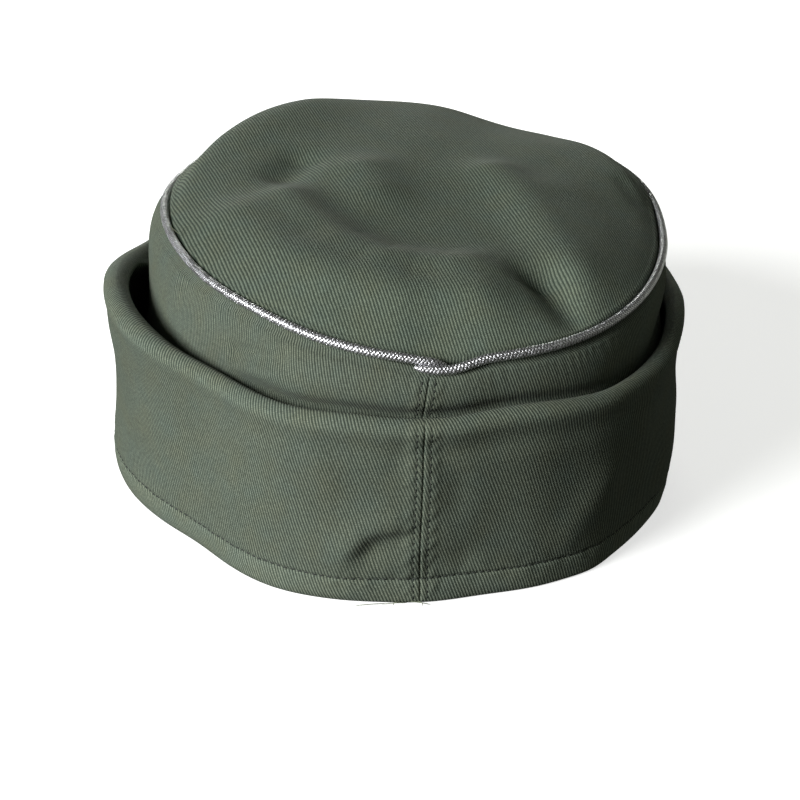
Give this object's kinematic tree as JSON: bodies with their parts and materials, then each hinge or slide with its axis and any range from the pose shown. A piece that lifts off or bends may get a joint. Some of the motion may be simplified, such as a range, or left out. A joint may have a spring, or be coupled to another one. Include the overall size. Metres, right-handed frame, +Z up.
{
  "type": "peaked cloth field cap with turn-up flap",
  "caption": "Round-topped cloth field cap with a stiff peak, a tall turn-up flap buttoned at the front and metallic piping round the crown seam, hollow for the head.",
  "frame": {"origin": "middle of the bounding box in plan, on the plane that the cap rests on", "axes": "+X is the wearer's left, +Y points to the back of the cap and +Z is up; the peak faces -Y"},
  "size_m": [0.1854, 0.277, 0.0934],
  "materials": {
    "crown_cloth": "matt cotton twill, grey-green",
    "flap_cloth": "matt cotton twill, grey-green, top-stitched",
    "peak_cloth": "matt cotton twill stretched over board, stitched along its edge",
    "piping_braid": "bright braided metallic cord",
    "button_metal": "satin grey-green paint"
  },
  "bodies": {
    "root": {"crown_top": "crown_cloth", "crown_wall": "crown_cloth", "flap": "flap_cloth", "piping": "piping_braid", "peak": "peak_cloth", "button_upper": "button_metal", "button_lower": "button_metal"}
  },
  "joints": []
}
